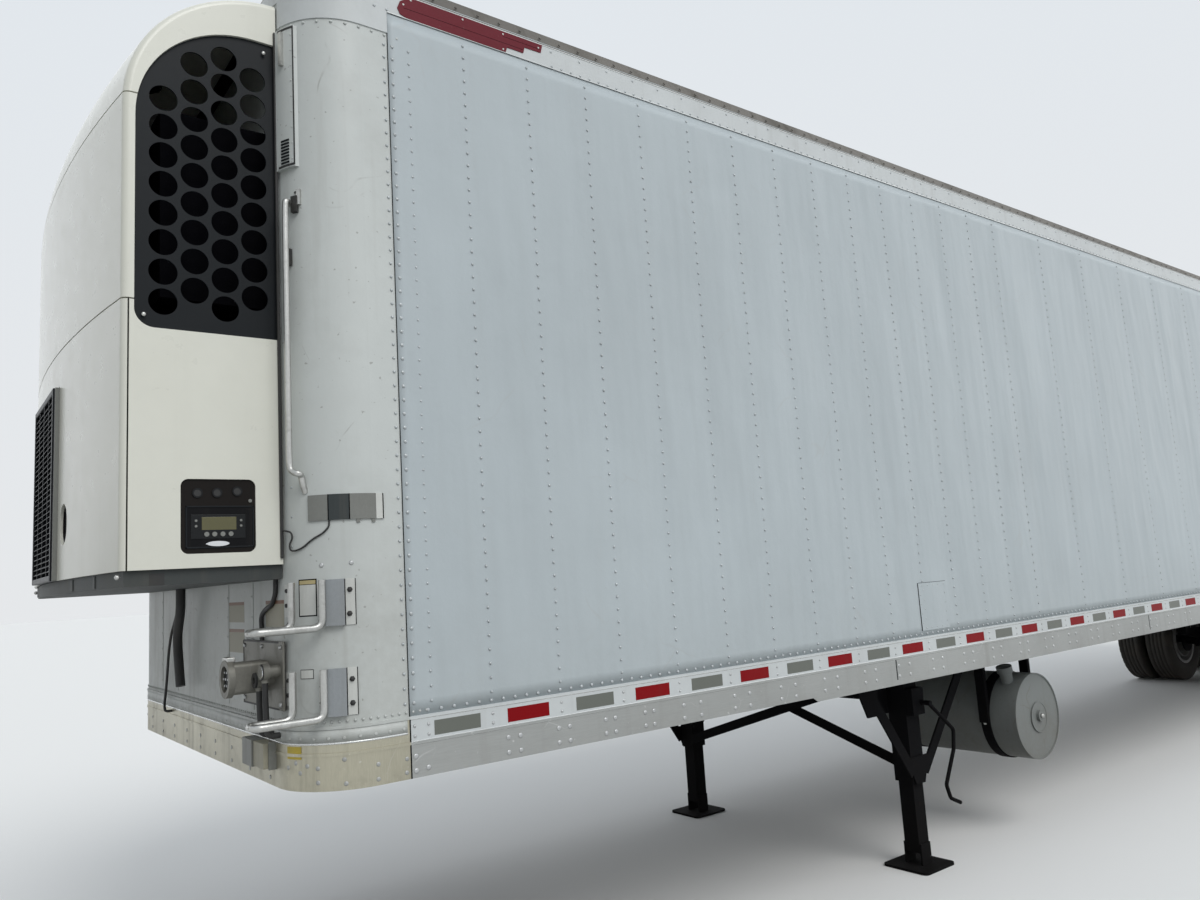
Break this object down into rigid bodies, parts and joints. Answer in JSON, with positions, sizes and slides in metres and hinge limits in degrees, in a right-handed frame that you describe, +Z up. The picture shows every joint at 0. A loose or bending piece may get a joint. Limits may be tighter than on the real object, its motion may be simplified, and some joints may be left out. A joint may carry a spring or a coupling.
{
  "type": "refrigerated box semi trailer",
  "caption": "Refrigerated box semi trailer parked on its landing legs, with nose-mounted cooling unit, sliding tandem on twin wheels and swing rear doors.",
  "frame": {"origin": "on the ground, under the middle of the overall length and width", "axes": "+X towards the nose, +Y to the road side, +Z up"},
  "size_m": [16.835, 2.591, 4.115],
  "materials": {
    "side_sheet": "satin pale blue-grey white paint on aluminium sheet",
    "nose_sheet": "satin white paint on sheet, scuffed",
    "roof_sheet": "weathered white paint",
    "aluminium_rail": "mill finish extruded aluminium",
    "floor_metal": "worn duct floor",
    "frame_black": "black chassis paint, dusty",
    "unit_white": "glossy off-white moulded panels",
    "unit_black": "dark moulded grille",
    "unit_slate": "dark slate moulded tray",
    "unit_metal": "painted steel frame",
    "door_white": "satin white door skin",
    "door_metal": "galvanised door gear",
    "stainless": "brushed stainless steel",
    "tank_white": "off-white painted tank",
    "tyre": "worn black rubber",
    "wheel_steel": "white painted steel disc wheel",
    "rubber": "black rubber",
    "lamp": "red lamp lens",
    "sensor_grey": "grey cover strip"
  },
  "bodies": {
    "trailer": {"nose_wall": "nose_sheet", "side_wall_left": "side_sheet", "side_wall_right": "side_sheet", "roof_panel": "roof_sheet", "floor_deck": "floor_metal", "top_rails": "aluminium_rail", "bottom_rails": "aluminium_rail", "nose_band": "aluminium_rail", "crossmembers": "frame_black", "upper_coupler": "frame_black", "unit_top_cap": "unit_white", "unit_front_panel": "unit_white", "unit_side_doors": "unit_white", "unit_lower_front": "unit_white", "unit_control_panel": "unit_black", "unit_side_grilles": "unit_black", "unit_centre_grille": "unit_black", "unit_frame": "unit_metal", "unit_base_tray": "unit_slate", "unit_engine_block": "unit_metal", "rear_frame": "stainless", "landing_legs": "frame_black", "landing_braces": "frame_black", "landing_drive": "frame_black", "fuel_tank": "tank_white", "tank_straps": "frame_black", "slider_rails": "frame_black", "tandem_subframe": "frame_black", "trailing_arms": "frame_black", "air_springs": "rubber", "axles": "frame_black", "mud_flaps": "rubber", "rear_guard": "frame_black", "lamps": "lamp", "nose_steps": "aluminium_rail", "grab_rail": "aluminium_rail", "service_plate": "stainless", "sensor_strip": "sensor_grey", "vent_hatch": "nose_sheet", "drain_hose": "rubber", "drain_cable": "rubber", "tray_hose": "rubber", "strip_cable": "rubber", "air_hoses": "rubber", "unit_coil": "unit_metal"},
    "left_door": {"rear_door_left": "door_white", "door_gear_left": "door_metal"},
    "right_door": {"rear_door_right": "door_white", "door_gear_right": "door_metal"},
    "front_left_wheels": {"tyres_front_left": "tyre", "wheels_front_left": "wheel_steel"},
    "front_right_wheels": {"tyres_front_right": "tyre", "wheels_front_right": "wheel_steel"},
    "rear_left_wheels": {"tyres_rear_left": "tyre", "wheels_rear_left": "wheel_steel"},
    "rear_right_wheels": {"tyres_rear_right": "tyre", "wheels_rear_right": "wheel_steel"}
  },
  "joints": [
    {"name": "left_door_hinge", "type": "hinge", "parent": "trailer", "child": "left_door", "pos_m": [-8.3875, 1.28, 2.64], "axis": [0, 0, -1], "range_deg": [0, 260]},
    {"name": "right_door_hinge", "type": "hinge", "parent": "trailer", "child": "right_door", "pos_m": [-8.3875, -1.28, 2.64], "axis": [0, 0, 1], "range_deg": [0, 260]},
    {"name": "front_left_spin", "type": "hinge", "parent": "trailer", "child": "front_left_wheels", "pos_m": [-4.0475, 0.984, 0.503], "axis": [0, 1, 0], "continuous": true},
    {"name": "front_right_spin", "type": "hinge", "parent": "trailer", "child": "front_right_wheels", "pos_m": [-4.0475, -0.984, 0.503], "axis": [0, 1, 0], "continuous": true},
    {"name": "rear_left_spin", "type": "hinge", "parent": "trailer", "child": "rear_left_wheels", "pos_m": [-5.2925, 0.984, 0.503], "axis": [0, 1, 0], "continuous": true},
    {"name": "rear_right_spin", "type": "hinge", "parent": "trailer", "child": "rear_right_wheels", "pos_m": [-5.2925, -0.984, 0.503], "axis": [0, 1, 0], "continuous": true}
  ]
}
